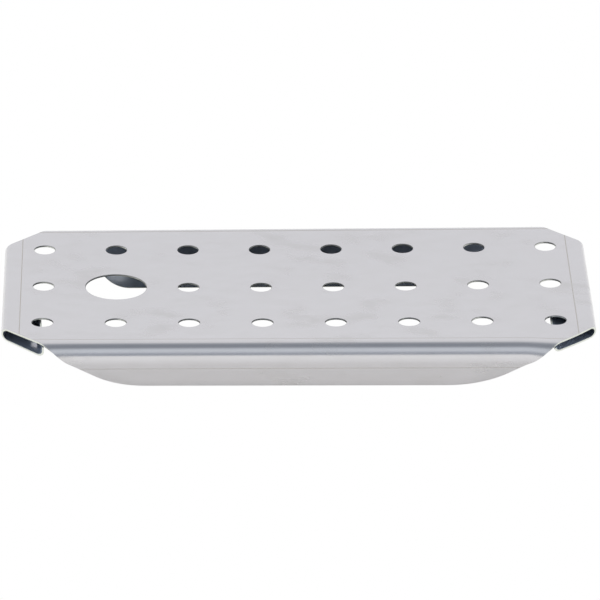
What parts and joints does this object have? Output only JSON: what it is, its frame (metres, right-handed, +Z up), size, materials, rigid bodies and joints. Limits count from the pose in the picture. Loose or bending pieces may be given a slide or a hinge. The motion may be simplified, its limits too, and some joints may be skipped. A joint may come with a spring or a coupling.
{
  "type": "steam table pan false bottom",
  "caption": "Perforated sheet-steel drain tray that stands in the bottom of a narrow food pan and keeps food above its drippings.",
  "frame": {"origin": "centre of the footprint, on the surface that the skirts stand on", "axes": "+X along the length with the finger hole on the -X side, +Y from the front skirt to the rear skirt, +Z up out of the deck"},
  "size_m": [0.264, 0.1332, 0.0256],
  "materials": {
    "stainless_sheet": "satin mill finish with faint forming marks"
  },
  "bodies": {
    "root": {"deck_panel": "stainless_sheet", "front_skirt": "stainless_sheet", "rear_skirt": "stainless_sheet", "left_end_return": "stainless_sheet", "right_end_return": "stainless_sheet"}
  },
  "joints": []
}
